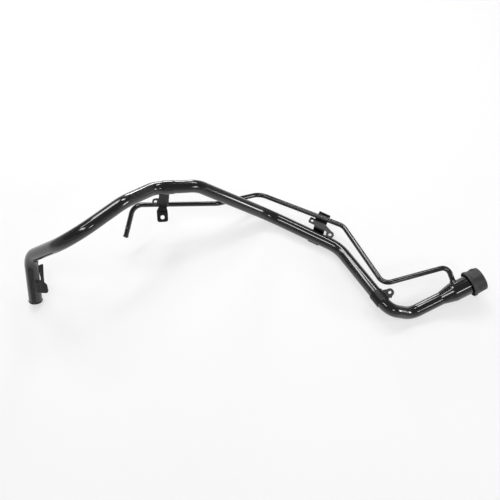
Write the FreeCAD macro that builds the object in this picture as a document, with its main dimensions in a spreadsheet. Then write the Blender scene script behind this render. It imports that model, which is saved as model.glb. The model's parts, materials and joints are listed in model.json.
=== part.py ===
import FreeCAD, Part
import Sketcher
import math
import os
from FreeCAD import Vector, Placement, Rotation

# Fuel filler neck: a bent steel filler pipe in two lengths, its drawn filler head, the small
# vent pipe that runs beside it, four sheet brackets, and the moulded collar, cap insert and
# nozzle restrictor in the mouth. All sizes are millimetres. The neck lies on a floor as it
# comes to rest: X runs along it from the tank end to the mouth, Y away, Z up.

doc = FreeCAD.newDocument("fuel_filler_neck")
sheet = doc.addObject("Spreadsheet::Sheet", "sizes")

# Driving sizes
SIZES = [
    ("main_od", 32, "filler pipe, outside diameter"),
    ("main_wall", 1.2, "filler pipe wall"),
    ("vent_od", 12.7, "vent pipe, outside diameter"),
    ("vent_wall", 1, "vent pipe wall"),
    ("fit_gap", 0.05, "radial gap of a pushed or brazed fit"),
    ("hose_bead_height", 1.3, "hose bead, height above the pipe"),
    ("hose_bead_length", 3.6, "hose bead, length"),
    ("hose_bead_setback", 3, "hose bead, distance from the pipe's end"),
    ("vent_bead_height", 0.9, "vent bead, height above the pipe"),
    ("vent_bead_length", 2.6, "vent bead, length"),
    ("vent_bead_setback", 2.5, "vent bead, distance from the pipe's end"),
    ("vent_stop_setback", 26, "vent hose stop ring, distance from the pipe's end"),
    ("joint_setback", 3, "slip joint, distance past the bend before it"),
    ("joint_insert", 20, "slip joint, depth of the tank pipe in the socket"),
    ("socket_length", 24, "slip joint socket, length"),
    ("socket_taper", 6, "slip joint socket, length of its taper"),
    ("braze_leg", 1.6, "braze ring, leg of its fillet"),
    ("head_od", 47.4, "filler head, outside diameter"),
    ("head_wall", 1.2, "filler head wall"),
    ("head_cone", 33, "filler head, length of its cone"),
    ("head_cone_round", 22, "filler head, round between cone and cylinder"),
    ("head_spigot", 14, "filler head, spigot inside the pipe"),
    ("head_lip_width", 2, "filler head, lip beyond its cylinder"),
    ("head_lip_thickness", 1.4, "filler head, lip thickness"),
    ("vent_past_cone", 9, "vent joint, distance past the head's cone"),
    ("vent_clock", 66, "vent joint, turn from the top of the head towards the back, degrees"),
    ("vent_drop", 62, "vent joint, straight drop onto the head's axis"),
    ("vent_lean", 9, "vent joint, lean of the drop along the head"),
    ("vent_inside", 4, "vent pipe, depth past the head's outer surface"),
    ("vent_braze_width", 2.2, "vent joint braze, width of its foot"),
    ("vent_braze_height", 3.2, "vent joint braze, height"),
    ("collar_back", 21, "collar, distance of its rear edge behind the head's end"),
    ("collar_length", 35, "collar, length"),
    ("collar_flange_height", 8.6, "collar, height of its rear flange above the head"),
    ("collar_flange_width", 6, "collar, rear flange width"),
    ("collar_step", 2, "collar, length of the slope from its flange to its body"),
    ("collar_body_height", 6.6, "collar, height of its body above the head behind the flange"),
    ("collar_taper", 1.3, "collar, fall of its body towards its front"),
    ("collar_wall", 2.4, "collar wall"),
    ("collar_hub_length", 9, "collar, hub length on the head"),
    ("collar_mouth_gap", 0.8, "collar, gap of its front rim round the head"),
    ("collar_bevel", 0.9, "collar, bevel of its edges"),
    ("collar_pocket_width", 17, "collar pocket, width"),
    ("collar_pocket_length", 12, "collar pocket, length"),
    ("collar_pocket_depth", 0.9, "collar pocket, depth"),
    ("collar_pad_width", 11, "collar pad, width"),
    ("collar_pad_height", 1.6, "collar pad, height above the body"),
    ("collar_pad_length", 9, "collar pad, length"),
    ("collar_pocket_count", 3, "collar pockets and pads, number of each"),
    ("insert_wall", 2.95, "cap insert wall"),
    ("insert_length", 26, "cap insert, length inside the head"),
    ("insert_flange", 2, "cap insert, flange thickness"),
    ("insert_lip", 0.5, "cap insert, height of its flange above the head"),
    ("insert_slot_width", 10, "cap insert, entry slot width"),
    ("insert_slot_depth", 1.6, "cap insert, entry slot depth"),
    ("insert_clear", 4, "cap insert, distance above the restrictor cup"),
    ("cup_past_vent", 24, "restrictor cup, distance of its top edge past the vent joint"),
    ("cup_skirt", 10, "restrictor cup, skirt length"),
    ("cup_wall", 1, "restrictor cup wall"),
    ("cup_cone", 6, "restrictor cup, depth of its coned floor"),
    ("nozzle_step", 8.5, "restrictor cup, step of its nozzle guide in from the cap insert's bore"),
    ("nozzle_guide", 4, "restrictor cup, nozzle guide length"),
    ("flap_gap", 0.3, "flap, running gap to its seat"),
    ("flap_overlap", 2.5, "flap, overlap round the nozzle guide's bore"),
    ("flap_thickness", 1.2, "flap, thickness"),
    ("hinge_clear", 3.1, "flap hinge, distance past the flap's edge"),
    ("hinge_pin_diameter", 2, "flap hinge pin, diameter"),
    ("hinge_pin_length", 17, "flap hinge pin, length"),
    ("hinge_knuckle", 4.4, "flap knuckle, outside diameter"),
    ("knuckle_span", 10.6, "flap knuckles, width over both"),
    ("knuckle_gap", 5.6, "flap knuckles, space between them for the spring"),
    ("hinge_lug_width", 5, "cup lug, width"),
    ("hinge_lug_thickness", 1.2, "cup lug, thickness"),
    ("hinge_lug_gap", 11.4, "cup lugs, space between them"),
    ("spring_wire", 0.7, "flap spring, wire diameter"),
    ("spring_coil", 3.8, "flap spring, mean coil diameter"),
    ("spring_turns", 3, "flap spring, turns"),
    ("spring_pitch", 0.85, "flap spring, pitch"),
    ("spring_leg", 9, "flap spring, leg along the flap"),
    ("spring_stop", 7, "flap spring, leg up to the cup"),
    ("bracket_sheet", 2, "bracket sheet thickness"),
    ("bracket_seat", 0.4, "bracket sheet, depth of the groove that seats it on a pipe"),
    ("bracket_fold", 3, "bracket sheet, fold radius at mid thickness"),
    ("arch_width", 25, "arch bracket, width"),
    ("arch_centre", 3, "arch bracket, distance of its middle past the joint"),
    ("arch_past_vent", 4, "arch bracket, length past the vent pipe's axis"),
    ("arch_tab_angle", 48, "arch bracket, fold of its tab, degrees"),
    ("arch_tab_neck", 9, "arch bracket, tab length before the joggle"),
    ("arch_joggle", 2.4, "arch bracket, step of the joggle"),
    ("arch_neck_nip", 4.5, "arch bracket, taper of its mouth side at the fold"),
    ("arch_tab_length", 25, "arch bracket, tab length past the joggle"),
    ("arch_tab_width", 27.5, "arch bracket, tab width"),
    ("arch_tab_shift", 3.8, "arch bracket, shift of its tab towards the tank"),
    ("arch_tab_round", 6, "arch bracket, tab corner round"),
    ("arch_hole", 10.5, "arch bracket, bolt hole diameter"),
    ("arch_hole_edge", 12, "arch bracket, bolt hole to the tab's end"),
    ("clip_tab_length", 16, "arch bracket clip tab, length"),
    ("clip_tab_height", 28, "arch bracket clip tab, height"),
    ("clip_tab_rise", 23, "arch bracket clip tab, middle above the vent pipe's axis"),
    ("clip_slot_width", 7.5, "arch bracket clip tab, slot width"),
    ("clip_slot_length", 15, "arch bracket clip tab, slot length"),
    ("middle_from_bend", 68, "middle bracket, distance before the low bend"),
    ("middle_saddle_to", 238, "middle bracket saddle, lower end from the top, degrees"),
    ("middle_left", 13, "middle bracket, half width at the pipe towards the tank"),
    ("middle_right", 17, "middle bracket, half width at the pipe towards the mouth"),
    ("middle_flare", 10, "middle bracket, flare of its tank side at the vent pipe"),
    ("middle_nip", 5, "middle bracket, taper of its mouth side at the vent pipe"),
    ("middle_past_vent", 16, "middle bracket, reach past the vent pipe's axis"),
    ("middle_lip", 6, "middle bracket lip, height"),
    ("middle_round", 4, "middle bracket, corner round"),
    ("middle_ear_across", 34, "middle bracket ear, hole along the pipe"),
    ("middle_ear_back", 15, "middle bracket ear, hole away from the pipe's axis"),
    ("middle_ear_radius", 10.5, "middle bracket ear, radius"),
    ("middle_ear_hole", 8.5, "middle bracket ear, hole diameter"),
    ("middle_clip_across", 25, "middle bracket clip tab, hole along the pipe"),
    ("middle_clip_back", 31, "middle bracket clip tab, hole away from the pipe's axis"),
    ("middle_clip_size", 17, "middle bracket clip tab, side"),
    ("middle_clip_hole", 7, "middle bracket clip tab, hole diameter"),
    ("band_before_bend", 15, "band bracket, distance of its middle before the bend"),
    ("band_length", 30, "band bracket, length on the pipe"),
    ("band_sheet", 2, "band bracket sheet thickness"),
    ("band_ear_shift", 5.5, "band bracket ear, hole past the band's middle"),
    ("band_ear_reach", 28, "band bracket ear, hole from the pipe's axis"),
    ("band_ear_low", 9.5, "band bracket ear, half width at the band towards the tank"),
    ("band_ear_high", 15, "band bracket ear, half width at the band towards the mouth"),
    ("band_ear_flare", 19, "band bracket ear, half width past the band towards the mouth"),
    ("band_ear_radius", 10, "band bracket ear, tip radius"),
    ("band_ear_hole", 8, "band bracket ear, hole diameter"),
    ("band_split", 0.3, "band bracket, gap between the leaves of its ear"),
    ("band_ear_turn", 66, "band bracket ear, turn from the top towards the mouth, degrees"),
    ("leaf_turn", 62, "tank bracket, turn of its seat from the leg's top towards the mouth, degrees"),
    ("leaf_start", 58, "tank bracket leaf, start along the leg from its bend point"),
    ("leaf_length", 49, "tank bracket leaf, length"),
    ("leaf_reach", 27, "tank bracket leaf, reach from the leg"),
    ("leaf_lap", 3.6, "tank bracket leaf, lap past its line of touch on the leg"),
    ("leaf_shoulder_along", 7, "tank bracket leaf, shoulder along the leg"),
    ("leaf_shoulder_out", 12, "tank bracket leaf, shoulder out from the leg"),
    ("leaf_crown_along", 25, "tank bracket leaf, crown along the leg"),
    ("leaf_toe_along", 35, "tank bracket leaf, end of its seat along the leg"),
    ("leaf_tip_radius", 4, "tank bracket leaf, tip radius"),
    ("leaf_hole", 3, "tank bracket leaf, hole diameter"),
    ("tab_start", 27, "tank bracket tab, start along the leg from its bend point"),
    ("tab_inner", 10, "tank bracket tab, inner edge out from the leg"),
    ("tab_width", 15, "tank bracket tab, width at its upper end"),
    ("tab_tip", 8, "tank bracket tab, width at the leaf"),
    ("tab_fold", 12, "tank bracket tab, fold back from the leaf, degrees"),
    ("weld_radius", 1.8, "weld bead radius"),
]

# Sizes that follow from the driving ones
DERIVED = [
    ("vent_station", "head_cone + vent_past_cone", "vent joint, distance along the head"),
    ("cup_top", "vent_station + cup_past_vent", "restrictor cup, top edge along the head"),
    ("head_length", "cup_top + insert_clear + insert_length", "filler head, length past the pipe's end"),
    ("collar_start", "head_length - collar_back", "collar, rear edge along the head"),
    ("collar_flange_od", "head_od + collar_flange_height * 2", "collar, rear flange diameter"),
    ("collar_od", "head_od + collar_body_height * 2", "collar, body diameter behind the flange"),
    ("collar_front_od", "collar_od - collar_taper * 2", "collar, body diameter at its front"),
    ("collar_mouth_od", "head_od + collar_mouth_gap * 2", "collar, opening in its front rim"),
    ("insert_bore", "head_od - (head_wall + fit_gap + insert_wall) * 2", "cap insert, bore"),
    ("insert_flange_od", "head_od + insert_lip * 2", "cap insert, flange diameter"),
    ("nozzle_bore", "insert_bore - nozzle_step * 2", "restrictor cup, nozzle guide bore"),
    ("flap_diameter", "nozzle_bore + flap_overlap * 2", "flap, diameter"),
    ("hinge_offset", "flap_diameter / 2 + hinge_clear", "flap hinge, distance from the head's axis"),
]

# Bend points of the filler pipe: along X, back in Y, up in Z, and the bend radius there
MAIN_ROUTE = [
    ("rim", -550, -124, 9.3, 0),
    ("leg", -541, -51, 113, 48),
    ("hump", -406, -78, 241, 96),
    ("shoulder", -304, 28, 228, 96),
    ("joint", -247, 100, 180, 48),
    ("drop", -143, 119, 162, 60),
    ("floor", 40, 121, 18.1, 96),
    ("rise", 217, 23, 18.1, 90),
    ("low", 322, -162.5, 46, 34),
    ("turn", 382, -158.5, 13, 48),
    ("mouth", 456, -126.2, 32.5, 0),
]

# Bend points of the vent pipe, each as a distance from a bend point of the filler pipe
VENT_ROUTE = [
    ("tip", "joint", -85, -67, -122, 0),
    ("hook", "joint", -60, -7, -64, 30),
    ("dive", "drop", 47, -2, -77, 30),
    ("under", "floor", -28, 54, 24, 40),
    ("beside", "rise", 13, 52, 24, 30),
    ("sag", "low", -10, 62.5, 14, 24),
]
VENT_LAST_BEND = 20


def write_sizes():
    """Write every size into the sheet, with its alias and its meaning."""
    rows = list(SIZES)
    rows += [(alias, f"={formula}", meaning) for alias, formula, meaning in DERIVED]
    for name, along, back, up, radius in MAIN_ROUTE:
        rows.append((f"main_{name}_along", along, f"filler pipe bend point {name}, X"))
        rows.append((f"main_{name}_back", back, f"filler pipe bend point {name}, Y"))
        rows.append((f"main_{name}_up", up, f"filler pipe bend point {name}, Z"))
        rows.append((f"main_{name}_bend", radius, f"filler pipe bend radius at {name}"))
    for name, near, along, back, up, radius in VENT_ROUTE:
        rows.append((f"vent_{name}_along", along, f"vent pipe bend point {name}, X from {near}"))
        rows.append((f"vent_{name}_back", back, f"vent pipe bend point {name}, Y from {near}"))
        rows.append((f"vent_{name}_up", up, f"vent pipe bend point {name}, Z from {near}"))
        rows.append((f"vent_{name}_bend", radius, f"vent pipe bend radius at {name}"))
    rows.append(("vent_last_bend", VENT_LAST_BEND, "vent pipe, last bend radius before the head"))
    for number, (alias, value, meaning) in enumerate(rows, start=1):
        sheet.set(f"A{number}", meaning)
        sheet.set(f"B{number}", str(value))
        sheet.setAlias(f"B{number}", alias)
    doc.recompute()


write_sizes()


def size(alias):
    """One size, read from the sheet."""
    return float(getattr(sheet, alias))


def unit(vector):
    """The direction of a vector, with length one."""
    return Vector(vector).normalize()


# Routes

def main_points():
    """The filler pipe's bend points and radii."""
    points = []
    radii = []
    for name, *_ in MAIN_ROUTE:
        along = size(f"main_{name}_along")
        back = size(f"main_{name}_back")
        up = size(f"main_{name}_up")
        points.append(Vector(along, back, up))
        radii.append(size(f"main_{name}_bend"))
    return points, radii


MAIN_POINTS, MAIN_RADII = main_points()
MAIN_INDEX = {row[0]: number for number, row in enumerate(MAIN_ROUTE)}


def main_point(name):
    """A named bend point of the filler pipe."""
    return MAIN_POINTS[MAIN_INDEX[name]]


def tangent_length(points, radii, corner):
    """Distance from a bend point to where its arc begins."""
    before = unit(points[corner] - points[corner - 1])
    after = unit(points[corner + 1] - points[corner])
    turn = before.getAngle(after)
    return radii[corner] * math.tan(turn / 2)


# The head's own directions: along its axis, up, and back
HEAD_AXIS = unit(main_point("mouth") - main_point("turn"))
HEAD_UP = unit(Vector(0, 0, 1) - HEAD_AXIS * HEAD_AXIS.z)
HEAD_BACK = HEAD_UP.cross(HEAD_AXIS)
HEAD_START = main_point("mouth")


def vent_points():
    """The vent pipe's bend points and radii, ending in the wall of the head."""
    points = []
    radii = []
    for name, near, *_ in VENT_ROUTE:
        along = size(f"vent_{name}_along")
        back = size(f"vent_{name}_back")
        up = size(f"vent_{name}_up")
        points.append(main_point(near) + Vector(along, back, up))
        radii.append(size(f"vent_{name}_bend"))
    clock = math.radians(size("vent_clock"))
    outward = HEAD_UP * math.cos(clock) + HEAD_BACK * math.sin(clock)
    foot = HEAD_START + HEAD_AXIS * size("vent_station")
    top = foot + outward * size("vent_drop") + HEAD_AXIS * size("vent_lean")
    depth = size("head_od") / 2 - size("vent_inside")
    end = foot + (top - foot) * (depth / size("vent_drop"))
    return points + [top, end], radii + [size("vent_last_bend"), 0]


VENT_POINTS, VENT_RADII = vent_points()


def bent_wire(points, radii):
    """Straight runs through the points, joined by tangent arcs of the given radii."""
    edges = []
    start = points[0]
    for corner in range(1, len(points) - 1):
        reach = tangent_length(points, radii, corner)
        before = unit(points[corner - 1] - points[corner])
        after = unit(points[corner + 1] - points[corner])
        arc_start = points[corner] + before * reach
        arc_end = points[corner] + after * reach
        inward = unit(before + after)
        half_turn = (math.pi - before.getAngle(after)) / 2
        crown = points[corner] + inward * radii[corner] * (1 / math.cos(half_turn) - 1)
        edges.append(Part.LineSegment(start, arc_start).toShape())
        edges.append(Part.Arc(arc_start, crown, arc_end).toShape())
        start = arc_end
    edges.append(Part.LineSegment(start, points[-1]).toShape())
    return Part.Wire(edges)


def turned_to(axis, origin, cross=None):
    """A placement whose Z lies along axis and whose X lies near cross."""
    z_axis = unit(axis)
    guide = cross if cross is not None else Vector(1, 0, 0)
    if abs(z_axis.dot(unit(guide))) > 0.99:
        guide = Vector(0, 1, 0)
    x_axis = unit(guide - z_axis * guide.dot(z_axis))
    return Placement(origin, Rotation(x_axis, z_axis.cross(x_axis), z_axis, "ZXY"))


def add(kind, name, **bound):
    """A document object with its properties bound to expressions."""
    thing = doc.addObject(kind, name)
    for key, expression in bound.items():
        thing.setExpression(key, expression)
    return thing


def swept(name, wire, radius):
    """A round bar along a wire, its radius bound to the sheet."""
    path = doc.addObject("Part::Feature", f"{name}_path")
    path.Shape = wire
    first = wire.Edges[0]
    start = first.valueAt(first.FirstParameter)
    circle = add("Part::Circle", f"{name}_circle", Radius=radius)
    circle.Placement = turned_to(first.tangentAt(first.FirstParameter), start)
    bar = doc.addObject("Part::Sweep", name)
    bar.Sections = [circle]
    bar.Spine = (path, [f"Edge{number + 1}" for number in range(len(wire.Edges))])
    bar.Solid = True
    bar.Frenet = False
    return bar


def fused(name, *parts):
    """Several shapes joined into one."""
    whole = doc.addObject("Part::MultiFuse", name)
    whole.Shapes = list(parts)
    whole.Refine = True
    return whole


def cut(name, base, tool):
    """One shape with another taken away."""
    rest = doc.addObject("Part::Cut", name)
    rest.Base = base
    rest.Tool = tool
    return rest


def cylinder(name, placement, radius, height):
    """A cylinder whose sizes are bound to the sheet."""
    thing = add("Part::Cylinder", name, Radius=radius, Height=height)
    thing.Placement = placement
    return thing


def cone(name, placement, lower, upper, height):
    """A cone whose sizes are bound to the sheet."""
    thing = add("Part::Cone", name, Radius1=lower, Radius2=upper, Height=height)
    thing.Placement = placement
    return thing


def origin_plane(body, role):
    """One of the body's own planes."""
    return [part for part in body.Origin.OriginFeatures if part.Role == role][0]


def bound_outline(body, name, role, points):
    """A closed sketch through the points, each held by two distances bound to the sheet."""
    sketch = body.newObject("Sketcher::SketchObject", name)
    sketch.AttachmentSupport = [(origin_plane(body, role), "")]
    sketch.MapMode = "FlatFace"
    places = [(float(sketch.evalExpression(x)), float(sketch.evalExpression(y))) for x, y in points]
    count = len(points)
    for number in range(count):
        here = Vector(*places[number], 0)
        there = Vector(*places[(number + 1) % count], 0)
        sketch.addGeometry(Part.LineSegment(here, there), False)
    for number in range(count):
        following = (number + 1) % count
        sketch.addConstraint(Sketcher.Constraint("Coincident", number, 2, following, 1))
    for number, pair in enumerate(points):
        for kind, expression, value in zip(("DistanceX", "DistanceY"), pair, places[number]):
            index = sketch.addConstraint(Sketcher.Constraint(kind, -1, 1, number, 1, value))
            sketch.setExpression(f"Constraints[{index}]", expression)
    return sketch


def turned_body(name, points, placement):
    """A body turned about its own Z axis from an outline of radius and height."""
    body = doc.addObject("PartDesign::Body", name)
    sketch = bound_outline(body, f"{name}_outline", "XZ_Plane", points)
    doc.recompute()
    turn = body.newObject("PartDesign::Revolution", f"{name}_turn")
    turn.Profile = sketch
    turn.ReferenceAxis = (sketch, ["V_Axis"])
    turn.Angle = 360
    body.Tip = turn
    body.Placement = placement
    doc.recompute()
    return body


def treat_edges(body, name, chosen, kind, **bound):
    """Round or bevel the edges of the body's tip that the test chooses."""
    base = body.Tip
    names = [f"Edge{number + 1}" for number, edge in enumerate(base.Shape.Edges) if chosen(edge)]
    treated = body.newObject(kind, name)
    treated.Base = (base, names)
    for key, expression in bound.items():
        treated.setExpression(key, expression)
    body.Tip = treated
    doc.recompute()
    return treated


def pipe_bead(name, centre, axis, pipe, bead):
    """A hose bead rolled out of a pipe: a ramp, a land and a ramp."""
    inside = f"sizes.{pipe}_od / 2 - sizes.{pipe}_wall / 2"
    foot = f"sizes.{pipe}_od / 2"
    land = f"sizes.{pipe}_od / 2 + sizes.{bead}_height"
    return turned_body(name, [
        (inside, f"-sizes.{bead}_length / 2"),
        (foot, f"-sizes.{bead}_length / 2"),
        (land, f"-sizes.{bead}_length / 8"),
        (land, f"sizes.{bead}_length / 8"),
        (foot, f"sizes.{bead}_length / 2"),
        (inside, f"sizes.{bead}_length / 2"),
    ], turned_to(axis, centre))


def shaped(name, shape, frame):
    """A document object for a shape made in a frame of its own."""
    place = frame * shape.Placement
    thing = doc.addObject("Part::Feature", name)
    thing.Shape = shape
    thing.Placement = place
    return thing


NODES = []


def node(thing, label):
    """Name a finished sub-part: the label names its file."""
    thing.Label = label
    NODES.append(thing)
    return thing


# Filler pipe, tank length: the leg with its hose bead, over the hump, into the slip joint
joint_corner = MAIN_INDEX["joint"]
joint_axis = unit(main_point("drop") - main_point("joint"))
joint_reach = tangent_length(MAIN_POINTS, MAIN_RADII, joint_corner) + size("joint_setback")
JOINT_FACE = main_point("joint") + joint_axis * joint_reach
tank_end = JOINT_FACE + joint_axis * size("joint_insert")
tank_wire = bent_wire(MAIN_POINTS[:joint_corner + 1] + [tank_end],
                      MAIN_RADII[:joint_corner + 1] + [0])
LEG_AXIS = unit(main_point("rim") - main_point("leg"))
tank_bar = swept("tank_pipe_outside", tank_wire, "sizes.main_od / 2")
tank_bead = pipe_bead("tank_pipe_bead", main_point("rim") - LEG_AXIS * size("hose_bead_setback"),
                      LEG_AXIS, "main", "hose_bead")
tank_bore = swept("tank_pipe_bore", tank_wire, "sizes.main_od / 2 - sizes.main_wall")
tank_pipe = cut("tank_pipe", fused("tank_pipe_beaded", tank_bar, tank_bead), tank_bore)
node(tank_pipe, "tank_pipe")

# Filler pipe, mouth length: a socket over the tank length, then down, along and up to the head
socket_frame = turned_to(joint_axis, JOINT_FACE)
taper_start = JOINT_FACE + joint_axis * size("socket_length")
taper_end = taper_start + joint_axis * size("socket_taper")
mouth_wire = bent_wire([taper_end] + MAIN_POINTS[joint_corner + 1:], [0] + MAIN_RADII[joint_corner + 1:])
socket_inside = "sizes.main_od / 2 + sizes.fit_gap"
socket_outside = "sizes.main_od / 2 + sizes.fit_gap + sizes.main_wall"
mouth_outside = fused(
    "main_pipe_outside",
    swept("main_pipe_bar", mouth_wire, "sizes.main_od / 2"),
    cylinder("socket_outside", socket_frame, socket_outside, "sizes.socket_length"),
    cone("socket_taper_outside", turned_to(joint_axis, taper_start),
         socket_outside, "sizes.main_od / 2", "sizes.socket_taper"))
mouth_bore = fused(
    "main_pipe_bore",
    swept("main_pipe_bore_bar", mouth_wire, "sizes.main_od / 2 - sizes.main_wall"),
    cylinder("socket_inside", socket_frame, socket_inside, "sizes.socket_length"),
    cone("socket_taper_inside", turned_to(joint_axis, taper_start),
         socket_inside, "sizes.main_od / 2 - sizes.main_wall", "sizes.socket_taper"))
main_pipe = cut("main_pipe", mouth_outside, mouth_bore)
node(main_pipe, "main_pipe")

# Braze ring where the socket's edge meets the tank length
braze_frame = turned_to(joint_axis, JOINT_FACE)
slip_braze = turned_body("slip_joint_braze", [
    ("sizes.main_od / 2 + sizes.fit_gap", "-sizes.braze_leg"),
    ("sizes.main_od / 2 + sizes.fit_gap + sizes.main_wall", "0"),
    ("sizes.main_od / 2 + sizes.fit_gap", "0"),
], braze_frame)
node(slip_braze, "slip_joint_braze")

# Filler head: a spigot inside the pipe, a cone, a cylinder and an outward lip
HEAD_FRAME = turned_to(HEAD_AXIS, HEAD_START, HEAD_UP)
spigot = "sizes.main_od / 2 - sizes.main_wall - sizes.fit_gap"
head_body = turned_body("filler_head_body", [
    (f"{spigot} - sizes.head_wall", "-sizes.head_spigot"),
    (spigot, "-sizes.head_spigot"),
    (spigot, "0"),
    ("sizes.main_od / 2", "0"),
    ("sizes.head_od / 2", "sizes.head_cone"),
    ("sizes.head_od / 2", "sizes.head_length - sizes.head_lip_thickness"),
    ("sizes.head_od / 2 + sizes.head_lip_width", "sizes.head_length - sizes.head_lip_thickness"),
    ("sizes.head_od / 2 + sizes.head_lip_width", "sizes.head_length"),
    ("sizes.head_od / 2 - sizes.head_wall", "sizes.head_length"),
    ("sizes.head_od / 2 - sizes.head_wall", "sizes.head_cone"),
    (f"{spigot} - sizes.head_wall", "sizes.head_wall * 2"),
], HEAD_FRAME)


def on_cone_shoulder(edge):
    """True for the circle where the cone's outside meets the cylinder."""
    curve = edge.Curve
    if not isinstance(curve, Part.Circle):
        return False
    wide = abs(curve.Radius - size("head_od") / 2) < 0.01
    return wide and abs(curve.Center.z - size("head_cone")) < 0.01


treat_edges(head_body, "filler_head_shoulder", on_cone_shoulder, "PartDesign::Fillet",
            Radius="sizes.head_cone_round")
vent_axis = unit(VENT_POINTS[-1] - VENT_POINTS[-2])
vent_frame = turned_to(vent_axis, VENT_POINTS[-2])
vent_hole = cylinder("vent_hole", vent_frame, "sizes.vent_od / 2 + sizes.fit_gap", "sizes.vent_drop")
filler_head = cut("filler_head", head_body, vent_hole)
node(filler_head, "filler_head")

# Vent pipe: beaded hose end, hook, dive under the filler pipe, and up into the head
vent_wire = bent_wire(VENT_POINTS, VENT_RADII)
vent_tip_axis = unit(VENT_POINTS[0] - VENT_POINTS[1])
vent_bar = swept("vent_pipe_outside", vent_wire, "sizes.vent_od / 2")
vent_bead = pipe_bead("vent_pipe_bead", VENT_POINTS[0] - vent_tip_axis * size("vent_bead_setback"),
                      vent_tip_axis, "vent", "vent_bead")
vent_stop = pipe_bead("vent_pipe_stop", VENT_POINTS[0] - vent_tip_axis * size("vent_stop_setback"),
                      vent_tip_axis, "vent", "vent_bead")
vent_bore = swept("vent_pipe_bore", vent_wire, "sizes.vent_od / 2 - sizes.vent_wall")
vent_pipe = cut("vent_pipe", fused("vent_pipe_beaded", vent_bar, vent_bead, vent_stop), vent_bore)
node(vent_pipe, "vent_pipe")

# Braze round the vent pipe's foot, fitted to the head's cylinder
foot_distance = size("vent_drop") - size("head_od") / 2
foot_drop = foot_distance * VENT_POINTS[-2].distanceToPoint(VENT_POINTS[-1])
foot_drop = foot_drop / (size("vent_drop") - size("head_od") / 2 + size("vent_inside"))
braze_top = VENT_POINTS[-2] + vent_axis * (foot_drop - size("vent_braze_height"))
braze_cone = cone("vent_braze_cone", turned_to(vent_axis, braze_top),
                  "sizes.vent_od / 2 + sizes.fit_gap * 4",
                  "sizes.vent_od / 2 + sizes.vent_braze_width * 1.5", "sizes.vent_braze_height * 1.5")
braze_head = cylinder("vent_braze_head", HEAD_FRAME, "sizes.head_od / 2", "sizes.head_length")
braze_hole = cylinder("vent_braze_hole", vent_frame, "sizes.vent_od / 2", "sizes.vent_drop * 1.5")
vent_braze = cut("vent_joint_braze", braze_cone, fused("vent_braze_seat", braze_head, braze_hole))
node(vent_braze, "vent_joint_braze")

# Collar: a moulded cup on the head's end, open at the back, with a rim round the mouth
collar_body = turned_body("collar_body", [
    ("sizes.collar_flange_od / 2 - sizes.collar_wall", "sizes.collar_start"),
    ("sizes.collar_flange_od / 2", "sizes.collar_start"),
    ("sizes.collar_flange_od / 2", "sizes.collar_start + sizes.collar_flange_width"),
    ("sizes.collar_od / 2", "sizes.collar_start + sizes.collar_flange_width + sizes.collar_step"),
    ("sizes.collar_front_od / 2", "sizes.collar_start + sizes.collar_length"),
    ("sizes.collar_mouth_od / 2", "sizes.collar_start + sizes.collar_length"),
    ("sizes.collar_mouth_od / 2", "sizes.collar_start + sizes.collar_length - sizes.collar_wall"),
    ("sizes.collar_front_od / 2 - sizes.collar_wall",
     "sizes.collar_start + sizes.collar_length - sizes.collar_wall"),
    ("sizes.collar_front_od / 2 - sizes.collar_wall", "sizes.head_length - sizes.head_lip_thickness"),
    ("sizes.head_od / 2 + sizes.fit_gap", "sizes.head_length - sizes.head_lip_thickness"),
    ("sizes.head_od / 2 + sizes.fit_gap",
     "sizes.head_length - sizes.head_lip_thickness - sizes.collar_hub_length"),
    ("sizes.head_od / 2 + sizes.fit_gap + sizes.collar_wall",
     "sizes.head_length - sizes.head_lip_thickness - sizes.collar_hub_length"),
    ("sizes.head_od / 2 + sizes.fit_gap + sizes.collar_wall",
     "sizes.head_length - sizes.head_lip_thickness - sizes.collar_wall"),
    ("sizes.collar_od / 2 - sizes.collar_wall",
     "sizes.head_length - sizes.head_lip_thickness - sizes.collar_wall"),
    ("sizes.collar_od / 2 - sizes.collar_wall",
     "sizes.collar_start + sizes.collar_flange_width + sizes.collar_step"),
    ("sizes.collar_flange_od / 2 - sizes.collar_wall", "sizes.collar_start + sizes.collar_flange_width"),
], HEAD_FRAME)


def on_collar_rim(edge):
    """True for the collar's outer circles at its flange and at its front."""
    curve = edge.Curve
    if not isinstance(curve, Part.Circle):
        return False
    flange = abs(curve.Radius - size("collar_flange_od") / 2) < 0.01
    end = size("collar_start") + size("collar_length")
    front = abs(curve.Radius - size("collar_front_od") / 2) < 0.01 and abs(curve.Center.z - end) < 0.01
    return flange or front


treat_edges(collar_body, "collar_bevels", on_collar_rim, "PartDesign::Chamfer", Size="sizes.collar_bevel")
collar_mean = "(sizes.collar_od + sizes.collar_front_od) / 4"
collar_pocket_core = cylinder("collar_pocket_core", HEAD_FRAME,
                              f"{collar_mean} - sizes.collar_pocket_depth",
                              "sizes.collar_start + sizes.collar_length")
pad_outside = cylinder("collar_pad_outside", HEAD_FRAME, f"{collar_mean} + sizes.collar_pad_height",
                       "sizes.collar_start + sizes.collar_length")
pocket_boxes = []
pad_boxes = []
body_start = size("collar_start") + size("collar_flange_width") + size("collar_step")
body_middle = (body_start + size("collar_start") + size("collar_length")) / 2
mean_radius = (size("collar_od") + size("collar_front_od")) / 4
pocket_corner = Vector(mean_radius - size("collar_wall"), -size("collar_pocket_width") / 2,
                       body_middle - size("collar_pocket_length") / 2)
pad_corner = Vector(mean_radius - size("collar_wall") / 2, -size("collar_pad_width") / 2,
                    body_middle - size("collar_pad_length") / 2)
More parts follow.
